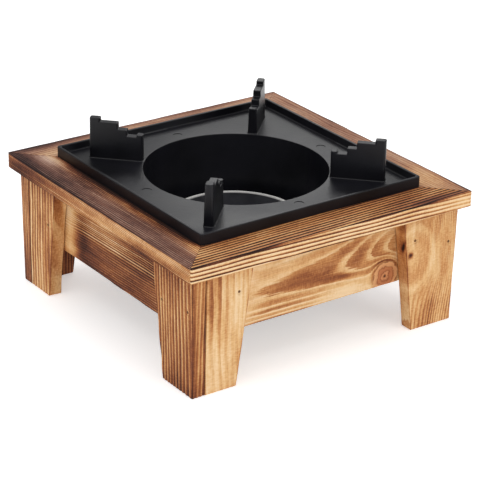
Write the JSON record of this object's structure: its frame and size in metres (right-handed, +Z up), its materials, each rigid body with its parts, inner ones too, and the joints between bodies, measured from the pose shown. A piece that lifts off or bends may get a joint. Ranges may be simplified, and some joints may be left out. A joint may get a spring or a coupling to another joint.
{
  "type": "hibachi grill",
  "caption": "Table-top solid-fuel grill: a square black cast burner with a round well, stepped pot supports and a fuel dish, in a scorched wood stand on tapered legs.",
  "frame": {"origin": "middle of the footprint, on the surface that the feet stand on", "axes": "+Z up; -Y is the front; the sides of the square stand lie along X and Y"},
  "size_m": [0.24, 0.24, 0.1346],
  "materials": {
    "frame_wood": "satin",
    "rail_wood": "satin",
    "leg_wood": "satin",
    "nail_steel": "satin",
    "black_iron": "satin",
    "dish_steel": "satin"
  },
  "bodies": {
    "stand": {"top_board_front": "frame_wood", "top_board_right": "frame_wood", "top_board_back": "frame_wood", "top_board_left": "frame_wood", "rail_front": "rail_wood", "rail_right": "rail_wood", "rail_back": "rail_wood", "rail_left": "rail_wood", "leg_front_left_through_board": "leg_wood", "leg_front_left_butt_board": "leg_wood", "leg_front_right_through_board": "leg_wood", "leg_front_right_butt_board": "leg_wood", "leg_back_right_through_board": "leg_wood", "leg_back_right_butt_board": "leg_wood", "leg_back_left_through_board": "leg_wood", "leg_back_left_butt_board": "leg_wood", "leg_rail_brads": "nail_steel", "leg_corner_brads": "nail_steel", "rail_corner_brads": "nail_steel", "mitre_nails": "nail_steel"},
    "burner": {"burner_casting": "black_iron"},
    "dish": {"fuel_dish": "dish_steel"}
  },
  "joints": [
    {"name": "burner_lift", "type": "slide", "parent": "stand", "child": "burner", "axis": [0, 0, 1], "range_m": [0, 0.075]},
    {"name": "dish_lift", "type": "slide", "parent": "burner", "child": "dish", "axis": [0, 0, 1], "range_m": [0, 0.1]}
  ]
}
